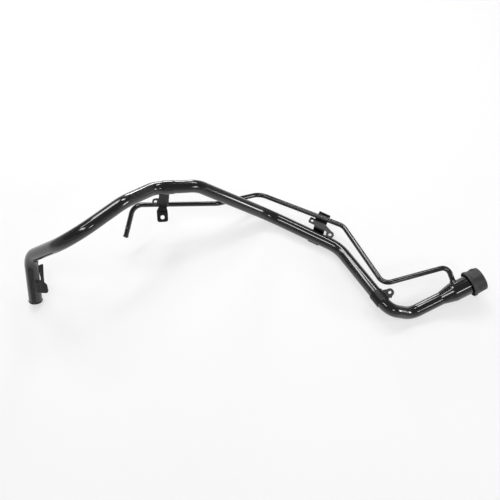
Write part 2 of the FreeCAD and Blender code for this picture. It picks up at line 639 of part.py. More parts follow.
for number in range(int(size("collar_pocket_count"))):
    turn = Placement(Vector(), Rotation(Vector(0, 0, 1), 360 * number / size("collar_pocket_count")))
    half_turn = Placement(Vector(), Rotation(Vector(0, 0, 1), 180 / size("collar_pocket_count")))
    box = add("Part::Box", f"collar_pocket_{number + 1}", Length="sizes.collar_wall * 3",
              Width="sizes.collar_pocket_width", Height="sizes.collar_pocket_length")
    box.Placement = HEAD_FRAME * turn * Placement(pocket_corner, Rotation())
    pocket_boxes.append(box)
    box = add("Part::Box", f"collar_pad_{number + 1}", Length="sizes.collar_wall * 3",
              Width="sizes.collar_pad_width", Height="sizes.collar_pad_length")
    box.Placement = HEAD_FRAME * turn * half_turn * Placement(pad_corner, Rotation())
    pad_boxes.append(box)
collar_pads = doc.addObject("Part::Common", "collar_pads")
collar_pads.Base = fused("collar_pad_boxes", *pad_boxes)
collar_pads.Tool = pad_outside
pocket_tool = cut("collar_pocket_tool", fused("collar_pocket_boxes", *pocket_boxes), collar_pocket_core)
mouth_collar = cut("mouth_collar", fused("collar_padded", collar_body, collar_pads), pocket_tool)
node(mouth_collar, "mouth_collar")

# Cap insert in the head's mouth, with two entry slots for the cap's lugs
insert_body = turned_body("insert_body", [
    ("sizes.insert_bore / 2", "sizes.head_length - sizes.insert_length"),
    ("sizes.head_od / 2 - sizes.head_wall - sizes.fit_gap", "sizes.head_length - sizes.insert_length"),
    ("sizes.head_od / 2 - sizes.head_wall - sizes.fit_gap", "sizes.head_length"),
    ("sizes.insert_flange_od / 2", "sizes.head_length"),
    ("sizes.insert_flange_od / 2", "sizes.head_length + sizes.insert_flange"),
    ("sizes.insert_bore / 2", "sizes.head_length + sizes.insert_flange"),
], HEAD_FRAME)
slot_box = add("Part::Box", "insert_slots", Length="sizes.insert_bore + sizes.insert_slot_depth * 2",
               Width="sizes.insert_slot_width", Height="sizes.insert_length")
slot_reach = size("insert_bore") / 2 + size("insert_slot_depth")
slot_middle = size("head_length") - size("insert_length") / 2
slot_corner = Vector(-slot_reach, -size("insert_slot_width") / 2, slot_middle)
slot_box.Placement = HEAD_FRAME * Placement(slot_corner, Rotation())
node(cut("cap_insert", insert_body, slot_box), "cap_insert")

# Restrictor cup: a skirt in the head, a coned floor, the nozzle guide and two hinge lugs
cup_radius = "sizes.head_od / 2 - sizes.head_wall - sizes.fit_gap"
cup_floor = "sizes.cup_top - sizes.cup_skirt"
guide_top = f"{cup_floor} - sizes.cup_cone"
guide_end = f"{guide_top} - sizes.nozzle_guide"
cup_outside = turned_body("cup_outside", [
    ("0", guide_end),
    ("sizes.nozzle_bore / 2 + sizes.cup_wall", guide_end),
    ("sizes.nozzle_bore / 2 + sizes.cup_wall", f"{guide_top} - sizes.cup_wall"),
    (cup_radius, f"{cup_floor} - sizes.cup_wall"),
    (cup_radius, "sizes.cup_top"),
    ("0", "sizes.cup_top"),
], HEAD_FRAME)
cup_inside = turned_body("cup_inside", [
    ("0", f"{guide_end} - sizes.cup_wall"),
    ("sizes.nozzle_bore / 2", f"{guide_end} - sizes.cup_wall"),
    ("sizes.nozzle_bore / 2", guide_top),
    (f"{cup_radius} - sizes.cup_wall", cup_floor),
    (f"{cup_radius} - sizes.cup_wall", "sizes.cup_top + sizes.cup_wall"),
    ("0", "sizes.cup_top + sizes.cup_wall"),
], HEAD_FRAME)
SEAT = size("cup_top") - size("cup_skirt") - size("cup_cone") - size("nozzle_guide")
HINGE_HEIGHT = SEAT - size("flap_gap") - size("flap_thickness") / 2
HINGE = Vector(size("hinge_offset"), 0, HINGE_HEIGHT)
HINGE_FRAME = HEAD_FRAME * Placement(HINGE, Rotation(Vector(1, 0, 0), -90))
lugs = []
for side in (-1, 1):
    lug = add("Part::Box", "cup_lug_left" if side < 0 else "cup_lug_right",
              Length="sizes.hinge_lug_width", Width="sizes.hinge_lug_thickness",
              Height="sizes.cup_cone + sizes.nozzle_guide + sizes.hinge_lug_width / 2")
    across = size("hinge_lug_gap") / 2
    if side < 0:
        across = -across - size("hinge_lug_thickness")
    half = size("hinge_lug_width") / 2
    lug.Placement = HEAD_FRAME * Placement(HINGE + Vector(-half, across, -half), Rotation())
    lugs.append(lug)
pin_reach = size("hinge_pin_length") / 2
pin_frame = HINGE_FRAME * Placement(Vector(0, 0, -pin_reach), Rotation())
lug_holes = cylinder("cup_lug_holes", pin_frame, "sizes.hinge_pin_diameter / 2 + sizes.fit_gap / 5",
                     "sizes.hinge_pin_length")
restrictor_cup = cut("restrictor_cup", fused("cup_with_lugs", cup_outside, *lugs),
                     fused("cup_hollows", cup_inside, lug_holes))
node(restrictor_cup, "restrictor_cup")
node(cylinder("flap_hinge_pin", pin_frame, "sizes.hinge_pin_diameter / 2", "sizes.hinge_pin_length"),
     "flap_hinge_pin")

# Flap: a disc under the nozzle guide, with two knuckles on the pin and room for the spring
flap_low = HINGE_HEIGHT - size("flap_thickness") / 2
flap_disc = cylinder("flap_disc", HEAD_FRAME * Placement(Vector(0, 0, flap_low), Rotation()),
                     "sizes.flap_diameter / 2", "sizes.flap_thickness")
flap_arm = add("Part::Box", "flap_arm", Length="sizes.hinge_offset",
               Width="sizes.knuckle_span", Height="sizes.flap_thickness")
flap_arm.Placement = HEAD_FRAME * Placement(Vector(0, -size("knuckle_span") / 2, flap_low), Rotation())
knuckle_frame = HINGE_FRAME * Placement(Vector(0, 0, -size("knuckle_span") / 2), Rotation())
knuckles = cylinder("flap_knuckles", knuckle_frame, "sizes.hinge_knuckle / 2", "sizes.knuckle_span")
knuckle_bore = cylinder("flap_knuckle_bore", knuckle_frame,
                        "sizes.hinge_pin_diameter / 2 + sizes.fit_gap", "sizes.knuckle_span")
spring_room = add("Part::Box", "flap_spring_room", Length="sizes.spring_coil * 2",
                  Width="sizes.knuckle_gap", Height="sizes.spring_coil * 2")
room_corner = Vector(-size("spring_coil") / 2 - size("spring_wire"), -size("knuckle_gap") / 2,
                     -size("spring_coil"))
spring_room.Placement = HEAD_FRAME * Placement(HINGE + room_corner, Rotation())
restrictor_flap = cut("restrictor_flap", fused("flap_with_knuckles", flap_disc, flap_arm, knuckles),
                      fused("flap_hollows", knuckle_bore, spring_room))
node(restrictor_flap, "restrictor_flap")


def spring_shape():
    """A coil round the pin, one leg up to the cup's floor and one under the flap."""
    coil = size("spring_coil") / 2
    wire = size("spring_wire") / 2
    leg = size("spring_leg")
    lift = coil - size("flap_thickness") / 2 - wire - size("fit_gap")
    turns = size("spring_turns") + 0.25 + math.asin(lift / leg) / (2 * math.pi)
    pitch = size("spring_pitch")
    helix = Part.makeHelix(pitch, pitch * turns, coil)
    first = helix.Edges[0]
    last = helix.Edges[-1]
    start = first.valueAt(first.FirstParameter)
    start_way = first.tangentAt(first.FirstParameter)
    end = last.valueAt(last.LastParameter)
    end_way = last.tangentAt(last.LastParameter)
    upper = Part.LineSegment(start - start_way * size("spring_stop"), start).toShape()
    lower = Part.LineSegment(end, end + end_way * leg).toShape()
    path = Part.Wire([upper] + helix.Edges + [lower])
    tip = start - start_way * size("spring_stop")
    section = Part.Wire(Part.makeCircle(wire, tip, start_way))
    shape = path.makePipeShell([section], True, True)
    shape.translate(Vector(0, 0, -pitch * turns / 2))
    return shape


node(shaped("flap_spring", spring_shape(), HINGE_FRAME), "flap_spring")


# Sheet brackets: folded strips, plates with rounded corners, holes and weld beads

def offset_points(points, radii, distance):
    """A bent path moved to the left of its own direction in its plane, with its bend radii."""
    moved = []
    bends = []
    for number, point in enumerate(points):
        sides = []
        if number > 0:
            sides.append(unit(point - points[number - 1]))
        if number < len(points) - 1:
            sides.append(unit(points[number + 1] - point))
        lefts = [Vector(-way.y, way.x, 0) for way in sides]
        if len(lefts) == 1:
            moved.append(point + lefts[0] * distance)
            bends.append(0)
            continue
        middle = unit(lefts[0] + lefts[1])
        moved.append(point + middle * (distance / middle.dot(lefts[0])))
        turns_left = sides[0].cross(sides[1]).z > 0
        bends.append(radii[number] + (-distance if turns_left else distance))
    return moved, bends


def folded_strip(points, radii, thickness, low, high):
    """A sheet folded along a path in X and Y, from low to high along Z."""
    near = bent_wire(*offset_points(points, radii, thickness / 2))
    far = bent_wire(*offset_points(points, radii, -thickness / 2))
    first_end = Part.LineSegment(near.Vertexes[0].Point, far.Vertexes[0].Point).toShape()
    last_end = Part.LineSegment(near.OrderedVertexes[-1].Point, far.OrderedVertexes[-1].Point).toShape()
    edges = Part.sortEdges(near.Edges + far.Edges + [first_end, last_end])[0]
    strip = Part.Face(Part.Wire(edges)).extrude(Vector(0, 0, high - low))
    strip.translate(Vector(0, 0, low))
    return strip


def rounded_plate(corners, thickness):
    """A flat plate in X and Y with its corners rounded, from Z zero up."""
    edges = []
    count = len(corners)
    ends = []
    for number, (x, y, radius) in enumerate(corners):
        here = Vector(x, y, 0)
        before = unit(Vector(*corners[number - 1][:2], 0) - here)
        after = unit(Vector(*corners[(number + 1) % count][:2], 0) - here)
        half = before.getAngle(after) / 2
        if radius == 0:
            ends.append((here, here))
            continue
        reach = radius / math.tan(half)
        crown = here + unit(before + after) * (radius / math.sin(half) - radius)
        ends.append((here + before * reach, here + after * reach))
        edges.append(Part.Arc(ends[-1][0], crown, ends[-1][1]).toShape())
    for number in range(count):
        leave = ends[number][1]
        arrive = ends[(number + 1) % count][0]
        if leave.distanceToPoint(arrive) > 0.001:
            edges.append(Part.LineSegment(leave, arrive).toShape())
    outline = Part.Wire(Part.sortEdges(edges)[0])
    return Part.Face(outline).extrude(Vector(0, 0, thickness))


def along_pipe(name, centre, way, length, radius):
    """A round bar centred on a point of a straight run, its radius bound to the sheet."""
    bar = add("Part::Cylinder", name, Radius=radius)
    bar.Height = length
    bar.Placement = turned_to(way, centre - unit(way) * (length / 2))
    return bar


def run_crossing(points, corner, plane_point, plane_way):
    """Where a straight run of a route crosses a plane square to a direction."""
    start = points[corner]
    way = points[corner + 1] - start
    return start + way * ((plane_point - start).dot(plane_way) / way.dot(plane_way))


def hole(name, frame, x, y, diameter):
    """A bolt hole through a sheet that lies in X and Y of a frame."""
    deep = size("bracket_sheet") * 6
    place = frame * Placement(Vector(x, y, -deep / 2), Rotation())
    drill = add("Part::Cylinder", name, Radius=f"sizes.{diameter} / 2")
    drill.Height = deep
    drill.Placement = place
    return drill


def weld(name, frame, ends, pieces):
    """Beads between pairs of points of a frame, cut back to the pieces that they join."""
    beads = []
    for number, (start, end) in enumerate(ends):
        bead = add("Part::Cylinder", f"{name}_{number + 1}", Radius="sizes.weld_radius")
        bead.Height = start.distanceToPoint(end)
        bead.Placement = frame * turned_to(end - start, start)
        beads.append(bead)
    return cut(name, fused(f"{name}_beads", *beads), fused(f"{name}_pieces", *pieces))


SHEET = size("bracket_sheet")
SEATING = size("bracket_seat")
GAP = size("fit_gap")
PIPE_RADIUS = size("main_od") / 2
VENT_RADIUS = size("vent_od") / 2

# Arch bracket: from the socket down past the front of the vent pipe, then a joggled tab
socket_radius = PIPE_RADIUS + GAP + size("main_wall")
arch_origin = JOINT_FACE + joint_axis * size("arch_centre")
arch_rest = run_crossing(VENT_POINTS, 1, arch_origin, joint_axis)
arch_reach = arch_origin.distanceToPoint(arch_rest)
ARCH_FRAME = turned_to(joint_axis, arch_origin, arch_rest - arch_origin)
arch_plane = -(VENT_RADIUS + GAP + SHEET / 2 - SEATING)
tab_turn = math.radians(size("arch_tab_angle"))
tab_way = Vector(math.cos(tab_turn), -math.sin(tab_turn), 0)
tab_forward = Vector(-math.sin(tab_turn), -math.cos(tab_turn), 0)
fold_point = Vector(arch_reach + size("arch_past_vent"), arch_plane, 0)
joggle_start = fold_point + tab_way * size("arch_tab_neck")
joggle_end = joggle_start + (tab_way + tab_forward) * size("arch_joggle")
tab_end = joggle_end + tab_way * size("arch_tab_length")
arch_half = size("arch_width") / 2
arch_path = [Vector(PIPE_RADIUS / 2, arch_plane, 0), fold_point, joggle_start, joggle_end, tab_end]
fold = size("bracket_fold")
tab_low = -size("arch_tab_shift") - size("arch_tab_width") / 2
tab_high = -size("arch_tab_shift") + size("arch_tab_width") / 2
neck_high = arch_half - size("arch_neck_nip")
arch_strip = folded_strip(arch_path, [0, fold, fold / 2, fold / 2, 0], SHEET, tab_low, arch_half)
arch_outline = rounded_plate([
    (0, -arch_half, 0),
    (fold_point.x, -arch_half, fold),
    (joggle_start.x, tab_low, fold),
    (tab_end.x + PIPE_RADIUS, tab_low, 0),
    (tab_end.x + PIPE_RADIUS, tab_high, 0),
    (joggle_end.x, tab_high, fold),
    (fold_point.x, neck_high, fold),
    (arch_reach - VENT_RADIUS, arch_half, fold),
    (0, arch_half, 0),
], size("main_od") * 4)
arch_outline.Placement = Placement(Vector(0, size("main_od") * 2, 0), Rotation(Vector(1, 0, 0), 90))
arch_strip = arch_strip.common(arch_outline).Solids[0]
corner_edges = []
for edge in arch_strip.Edges:
    ends = [vertex.Point for vertex in edge.Vertexes]
    short = abs(edge.Length - SHEET) < 0.01
    if short and all((point - tab_end).dot(tab_way) > -0.01 for point in ends):
        corner_edges.append(edge)
arch_strip = arch_strip.makeFillet(size("arch_tab_round"), corner_edges)
clip_low = arch_reach - size("clip_tab_rise") - size("clip_tab_height") / 2
clip_x = -arch_half - size("clip_tab_length")
clip_round = size("clip_tab_height") / 3
clip_plate = rounded_plate([
    (clip_low, clip_x, clip_round),
    (clip_low, -arch_half + SHEET, 0),
    (clip_low + size("clip_tab_height"), -arch_half + SHEET, 0),
    (clip_low + size("clip_tab_height"), clip_x, clip_round),
], SHEET)
clip_plate.Placement = Placement(Vector(0, arch_plane + SHEET / 2, 0), Rotation(Vector(1, 0, 0), 90))
arch_sheet = shaped("arch_sheet", arch_strip.fuse(clip_plate).removeSplitter(), ARCH_FRAME)
clip_frame = ARCH_FRAME * Placement(Vector(0, arch_plane, 0), Rotation(Vector(1, 0, 0), 90))
tab_frame = ARCH_FRAME * turned_to(tab_forward, tab_end, tab_way)
slot_x = arch_reach - size("clip_tab_rise")
slot_y = -arch_half - size("clip_tab_length") / 2
slot_half = size("clip_slot_length") / 2
slot_end = size("clip_slot_width") / 2
clip_slot = shaped("clip_slot", rounded_plate([
    (slot_x - slot_half, slot_y - slot_end, slot_end),
    (slot_x + slot_half, slot_y - slot_end, slot_end),
    (slot_x + slot_half, slot_y + slot_end, slot_end),
    (slot_x - slot_half, slot_y + slot_end, slot_end),
], SHEET * 4), clip_frame * Placement(Vector(0, 0, -SHEET * 2), Rotation()))
arch_socket = along_pipe("arch_socket", arch_origin, joint_axis, size("arch_width") * 2,
                         "sizes.main_od / 2 + sizes.main_wall + sizes.fit_gap * 2")
vent_run_way = VENT_POINTS[2] - VENT_POINTS[1]
arch_vent = along_pipe("arch_vent", arch_rest, vent_run_way, size("arch_width") * 4,
                       "sizes.vent_od / 2 + sizes.fit_gap")
arch_bracket = cut("arch_bracket", arch_sheet, fused(
    "arch_cuts", arch_socket, arch_vent,
    hole("arch_tab_hole", tab_frame, -size("arch_hole_edge"), -size("arch_tab_shift"), "arch_hole"),
    clip_slot))
node(arch_bracket, "arch_bracket")

bead_inset = size("weld_radius")
bead_high = neck_high - bead_inset
socket_touch = math.sqrt(socket_radius ** 2 - (arch_plane - SHEET / 2) ** 2)
bead_side = VENT_RADIUS / 2
arch_bead_plane = arch_plane + SHEET / 2
arch_welds = weld("arch_bracket_welds", ARCH_FRAME, [
    (Vector(socket_touch, arch_plane - SHEET / 2, -size("arch_centre") + bead_inset),
     Vector(socket_touch, arch_plane - SHEET / 2, arch_half - bead_inset)),
    (Vector(arch_reach - bead_side, arch_bead_plane, -arch_half + bead_inset),
     Vector(arch_reach - bead_side, arch_bead_plane, bead_high)),
    (Vector(arch_reach + bead_side, arch_bead_plane, -arch_half + bead_inset),
     Vector(arch_reach + bead_side, arch_bead_plane, bead_high)),
], [arch_bracket, arch_socket, arch_vent])
node(arch_welds, "arch_bracket_welds")

# Middle bracket: a saddle under the filler pipe, a leg up its back and a shelf under the vent pipe
middle_way = unit(main_point("rise") - main_point("floor"))
middle_origin = main_point("rise") - middle_way * size("middle_from_bend")
middle_back = Vector(-middle_way.y, middle_way.x, 0)
MIDDLE_FRAME = turned_to(middle_way, middle_origin, middle_back)
middle_rest = run_crossing(VENT_POINTS, 3, middle_origin, middle_way)
rest_place = MIDDLE_FRAME.inverse().multVec(middle_rest)
shelf_plane = rest_place.y - VENT_RADIUS - GAP - SHEET / 2 + SEATING
shelf_end = rest_place.x + size("middle_past_vent")
saddle_radius = PIPE_RADIUS + GAP + SHEET / 2
middle_low = -size("middle_left") - size("middle_flare")
middle_high = size("middle_right")


def middle_sheet():
    """The saddle, leg, shelf and lip as one folded sheet, before its holes."""
    wide = middle_high - middle_low
    path = [Vector(saddle_radius, 0, 0), Vector(saddle_radius, shelf_plane, 0),
            Vector(shelf_end, shelf_plane, 0), Vector(shelf_end, shelf_plane + size("middle_lip"), 0)]
    strip = folded_strip(path, [0, fold, fold, 0], SHEET, middle_low, middle_high)
    sweep = size("middle_saddle_to") - 90
    along = Vector(0, 0, 1)
    ring = Part.makeCylinder(saddle_radius + SHEET / 2, wide, Vector(0, 0, middle_low), along, sweep)
    ring = ring.cut(Part.makeCylinder(saddle_radius - SHEET / 2, wide, Vector(0, 0, middle_low), along))
    ring.rotate(Vector(), along, -sweep)
    flare = -size("middle_left") - size("middle_flare")
    nip = size("middle_right") - size("middle_nip")
    round_size = size("middle_round")
    far = shelf_end + size("middle_lip")
    prism = rounded_plate([
        (-size("main_od"), -size("middle_left"), 0),
        (PIPE_RADIUS, -size("middle_left"), round_size),
        (rest_place.x, flare, round_size),
        (far, flare + size("middle_flare") / 2, 0),
        (far, nip, 0),
        (rest_place.x, nip, round_size),
        (PIPE_RADIUS, size("middle_right"), round_size),
        (-size("main_od"), size("middle_right"), 0),
    ], size("main_od") * 4)
    prism.Placement = Placement(Vector(0, size("main_od") * 2, 0), Rotation(Vector(1, 0, 0), 90))
    trimmed = strip.fuse(ring).common(prism)
    ear_x = size("middle_ear_back")
    ear_z = size("middle_ear_across")
    ear_radius = size("middle_ear_radius")
    root = saddle_radius + fold
    ear = rounded_plate([
        (root, nip, 0),
        (root + ear_radius * 1.5, nip, 0),
        (ear_x + ear_radius, ear_z, 0),
        (ear_x - ear_radius / 3, ear_z, 0),
        (root, size("middle_right") + SHEET, SHEET),
    ], SHEET)
    ear = ear.fuse(Part.makeCylinder(ear_radius, SHEET, Vector(ear_x, ear_z, 0)))
    half_tab = size("middle_clip_size") / 2
    tab_x = size("middle_clip_back")
    tab_end_z = -size("middle_clip_across") - half_tab
    clip = rounded_plate([
        (tab_x - half_tab, tab_end_z, round_size),
        (tab_x - half_tab, -size("middle_left"), 0),
        (tab_x + half_tab, -size("middle_left"), 0),
        (tab_x + half_tab, tab_end_z, round_size),
    ], SHEET)
    flats = ear.fuse(clip)
    flats.Placement = Placement(Vector(0, shelf_plane + SHEET / 2, 0), Rotation(Vector(1, 0, 0), 90))
    return trimmed.fuse(flats).removeSplitter()


shelf_frame = MIDDLE_FRAME * Placement(Vector(0, shelf_plane, 0), Rotation(Vector(1, 0, 0), 90))
middle_pipe = along_pipe("middle_pipe", middle_origin, middle_way, size("middle_from_bend"),
                         "sizes.main_od / 2 + sizes.fit_gap")
middle_vent = along_pipe("middle_vent", middle_rest, VENT_POINTS[4] - VENT_POINTS[3],
                         size("middle_from_bend") * 2, "sizes.vent_od / 2 + sizes.fit_gap")
middle_bracket = cut("middle_bracket", shaped("middle_sheet", middle_sheet(), MIDDLE_FRAME), fused(
    "middle_cuts", middle_pipe, middle_vent,
    hole("middle_ear_drill", shelf_frame, size("middle_ear_back"), size("middle_ear_across"),
         "middle_ear_hole"),
    hole("middle_clip_drill", shelf_frame, size("middle_clip_back"), -size("middle_clip_across"),
         "middle_clip_hole")))
node(middle_bracket, "middle_bracket")

saddle_end = math.radians(size("middle_saddle_to"))
saddle_tip = Vector(math.sin(saddle_end), math.cos(saddle_end), 0) * (PIPE_RADIUS + GAP)
shelf_top = shelf_plane + SHEET / 2
weld_low = -size("middle_left") + bead_inset
weld_high = size("middle_right") - size("middle_nip") - bead_inset
middle_welds = weld("middle_bracket_welds", MIDDLE_FRAME, [
    (saddle_tip + Vector(0, 0, weld_low), saddle_tip + Vector(0, 0, weld_high)),
    (Vector(rest_place.x - bead_side, shelf_top, weld_low),
     Vector(rest_place.x - bead_side, shelf_top, weld_high)),
    (Vector(rest_place.x + bead_side, shelf_top, weld_low),
     Vector(rest_place.x + bead_side, shelf_top, weld_high)),
], [middle_bracket, middle_pipe, middle_vent])
node(middle_welds, "middle_bracket_welds")


def clock_way(axis, degrees):
    """A direction square to an axis, turned from its top towards the mouth side or the back."""
    top = unit(Vector(0, 0, 1) - axis * axis.z)
    turn = math.radians(degrees)
    return top * math.cos(turn) + top.cross(axis) * math.sin(turn)


# Band bracket: a split band clamped round the pipe, with its two leaves as one bolted ear
band_way = unit(main_point("low") - main_point("rise"))
low_reach = tangent_length(MAIN_POINTS, MAIN_RADII, MAIN_INDEX["low"])
band_origin = main_point("low") - band_way * (low_reach + size("band_before_bend"))
BAND_FRAME = turned_to(band_way, band_origin, clock_way(band_way, size("band_ear_turn")))
BAND_SHEET = size("band_sheet")


def band_shape():
    """The band and its ear in one sheet, split between the two leaves of the ear."""
    half = size("band_length") / 2
    inner = PIPE_RADIUS + GAP
    outer = inner + BAND_SHEET
    ring = Part.makeCylinder(outer, half * 2, Vector(0, 0, -half))
    reach = size("band_ear_reach")
    radius = size("band_ear_radius")
    shift = size("band_ear_shift")
    split = size("band_split")
    low = -size("band_ear_low")
    high = size("band_ear_high")
    thick = BAND_SHEET * 2 + split
    ear = rounded_plate([
        (inner, low, 0),
        (outer + BAND_SHEET, low, BAND_SHEET),
        (reach, shift - radius, 0),
        (reach, shift + radius, 0),
        (outer + BAND_SHEET * 2, size("band_ear_flare"), BAND_SHEET),
        (outer + BAND_SHEET / 2, high, 0),
        (inner, high, 0),
    ], thick)
    ear = ear.fuse(Part.makeCylinder(radius, thick, Vector(reach, shift, 0)))
    ear.Placement = Placement(Vector(0, thick / 2, 0), Rotation(Vector(1, 0, 0), 90))
    band = ring.fuse(ear).removeSplitter()
    band = band.cut(Part.makeCylinder(inner, half * 4, Vector(0, 0, -half * 2)))
    slot = Part.makeBox(reach + radius, split, half * 4, Vector(inner - 1, -split / 2, -half * 2))
    return band.cut(slot)


band_ear_frame = BAND_FRAME * Placement(Vector(), Rotation(Vector(1, 0, 0), 90))
band_bracket = cut("band_bracket", shaped("band_sheet_folded", band_shape(), BAND_FRAME),
                   hole("band_ear_drill", band_ear_frame, size("band_ear_reach"), size("band_ear_shift"),
                        "band_ear_hole"))
node(band_bracket, "band_bracket")

# Tank bracket: a leaf welded along the leg, folded back above into a narrow tab
tank_way = clock_way(LEG_AXIS, size("leaf_turn"))
TANK_FRAME = turned_to(tank_way, main_point("leg"), LEG_AXIS)
leaf_plane = PIPE_RADIUS + GAP + SHEET / 2 - SEATING


def tank_sheet():
    """The leaf and its tab as one folded sheet, cut to their outlines."""
    start = size("leaf_start")
    end = start + size("leaf_length")
    reach = size("leaf_reach")
    lap = size("leaf_lap")
    before = size("tab_start") - SHEET
    fall = (start - before) * math.tan(math.radians(size("tab_fold")))
    path = [Vector(before, leaf_plane - fall, 0), Vector(start, leaf_plane, 0),
            Vector(end + SHEET, leaf_plane, 0)]
    strip = folded_strip(path, [0, fold, 0], SHEET, -reach - SHEET, lap + SHEET)
    tip = size("leaf_tip_radius")
    deep = size("main_od") * 2
    leaf = rounded_plate([
        (start, -lap, tip / 2),
        (start + size("leaf_shoulder_along"), size("leaf_shoulder_out"), 0),
        (start + size("leaf_crown_along"), reach - tip / 2, tip * 2),
        (end - tip, reach, tip),
        (end, reach - tip, tip / 2),
        (end - tip, reach / 2, tip),
        (start + size("leaf_toe_along"), -lap, tip),
    ], deep)
    inner = size("tab_inner")
    shoulder = start + size("leaf_shoulder_along") * 2
    tab = rounded_plate([
        (size("tab_start"), inner, SHEET),
        (size("tab_start"), inner + size("tab_width"), SHEET),
        (start, inner + size("tab_tip"), 0),
        (shoulder, inner + size("tab_tip"), 0),
        (shoulder, inner, 0),
    ], deep)
    prism = leaf.fuse(tab)
    prism.Placement = Placement(Vector(0, -deep / 4, 0), Rotation(Vector(1, 0, 0), -90))
    shape = strip.common(prism)
    shape.Placement = Placement(Vector(), Rotation(Vector(1, 0, 0), 90)) * shape.Placement
    return shape


leg_pipe = along_pipe("leg_pipe", main_point("leg") + LEG_AXIS * size("leaf_start"), LEG_AXIS,
                      size("leaf_length") * 3, "sizes.main_od / 2 + sizes.fit_gap")
leaf_frame = TANK_FRAME * Placement(Vector(0, 0, leaf_plane), Rotation())
tank_bracket = cut("tank_bracket", shaped("tank_sheet", tank_sheet(), TANK_FRAME), fused(
    "tank_cuts", leg_pipe,
    hole("leaf_drill", leaf_frame, size("leaf_start") + size("leaf_shoulder_along"), 0, "leaf_hole")))
node(tank_bracket, "tank_bracket")

bead_start = size("leaf_start") + size("leaf_shoulder_along")
bead_end = size("leaf_start") + size("leaf_toe_along") - size("leaf_tip_radius") * 1.5
tank_welds = weld("tank_bracket_welds", TANK_FRAME, [
    (Vector(bead_start, -size("leaf_lap"), PIPE_RADIUS), Vector(bead_end, -size("leaf_lap"), PIPE_RADIUS)),
    (Vector(bead_start, PIPE_RADIUS / 3, PIPE_RADIUS), Vector(bead_end, PIPE_RADIUS / 3, PIPE_RADIUS)),
], [tank_bracket, leg_pipe])
node(tank_welds, "tank_bracket_welds")

# Rebuild, check every object and sub-part, then write one file for each sub-part
doc.recompute()
for thing in doc.Objects:
    if "Invalid" in thing.State or "Error" in thing.State:
        raise RuntimeError(f"{thing.Name} failed: {thing.State}")
for thing in NODES:
    if thing.Shape.isNull() or not thing.Shape.isValid():
        raise RuntimeError(f"{thing.Label} has no valid shape")
os.makedirs("parts", exist_ok=True)
for thing in NODES:
    thing.Shape.exportStep(f"parts/{thing.Label}.step")
    print(thing.Label, len(thing.Shape.Solids), "solids", round(thing.Shape.Volume), "mm3")
lengths = [("tank pipe", tank_wire), ("mouth pipe", mouth_wire), ("vent pipe", vent_wire)]
for name, wire in lengths:
    print(name, "centre line", round(wire.Length, 1), "mm")
print("flap hinge at", HEAD_FRAME.multVec(HINGE), "axis", HEAD_BACK)
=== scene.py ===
# %% [markdown]
# A steel fuel filler neck lies on a pale studio floor: one bent filler pipe in two lengths, a slim
# vent pipe beside it, four sheet brackets, and a moulded collar round the mouth. The solids come
# from the CAD model at their true size, so this script gives them their finishes, adds the fine
# forms that the solids leave out, and lights and frames them as the photograph does.

# %% Load the CAD model
import bmesh
import bpy
import json
import math
from mathutils import Matrix, Vector
from mathutils.bvhtree import BVHTree


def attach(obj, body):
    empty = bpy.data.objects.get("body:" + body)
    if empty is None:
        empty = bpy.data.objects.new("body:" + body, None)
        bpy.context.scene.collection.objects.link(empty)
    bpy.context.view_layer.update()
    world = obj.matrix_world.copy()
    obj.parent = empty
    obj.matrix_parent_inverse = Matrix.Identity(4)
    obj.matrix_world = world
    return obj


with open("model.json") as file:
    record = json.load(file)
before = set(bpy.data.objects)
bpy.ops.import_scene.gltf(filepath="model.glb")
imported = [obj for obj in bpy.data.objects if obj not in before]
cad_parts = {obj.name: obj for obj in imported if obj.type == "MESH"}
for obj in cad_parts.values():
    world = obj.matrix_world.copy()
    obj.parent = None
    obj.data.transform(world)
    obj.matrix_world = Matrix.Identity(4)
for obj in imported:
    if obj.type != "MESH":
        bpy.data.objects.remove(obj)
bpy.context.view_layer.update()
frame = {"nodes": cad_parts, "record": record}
nodes = frame["nodes"]


# %% [markdown]
# A finish is a small network of shader nodes. The helpers below keep each network short to read:
# one makes a node and sets its sockets, one makes a material with its Principled shader, and one
# starts a node group, which is how an effect is shared between materials.


# %% Helpers for shader networks
def shader_node(tree, kind, inputs=None, **settings):
    """A node in a tree, with its properties set and its inputs given values or links."""
    made = tree.nodes.new(kind)
    for name, value in settings.items():
        setattr(made, name, value)
    for name, value in (inputs or {}).items():
        socket = made.inputs[name]
        if isinstance(value, bpy.types.NodeSocket):
            tree.links.new(value, socket)
        else:
            socket.default_value = value
    return made


def new_material(name, **values):
    """A material with one Principled shader, whose fixed values are set on its own sockets."""
    material = bpy.data.materials.new(name)
    material.use_nodes = True
    tree = material.node_tree
    shader = tree.nodes["Principled BSDF"]
    for key, value in values.items():
        shader.inputs[key.replace("_", " ")].default_value = value
    return material, tree, shader


def new_group(name, inputs, outputs):
    """A shader node group with named inputs and outputs."""
    group = bpy.data.node_groups.new(name, "ShaderNodeTree")
    for label, kind, default in inputs:
        socket = group.interface.new_socket(label, in_out="INPUT", socket_type=kind)
        socket.default_value = default
    for label, kind in outputs:
        group.interface.new_socket(label, in_out="OUTPUT", socket_type=kind)
    start = group.nodes.new("NodeGroupInput")
    end = group.nodes.new("NodeGroupOutput")
    return group, start, end


def use_group(tree, group, **values):
    """A group placed in a material, with its own values."""
    placed = tree.nodes.new("ShaderNodeGroup")
    placed.node_tree = group
    for key, value in values.items():
        placed.inputs[key.replace("_", " ")].default_value = value
    return placed


def blend_colours(tree, factor, first, second):
    """A colour between two others."""
    mix = shader_node(tree, "ShaderNodeMix", data_type="RGBA")
    tree.links.new(factor, mix.inputs[0])
    mix.inputs[6].default_value = first
    mix.inputs[7].default_value = second
    return mix.outputs[2]


def grey(value, tint=0.0):
    """A near-neutral colour, a little warm or cold."""
    return (value * (1 + tint), value, value * (1 - tint), 1)


print("helpers ready")

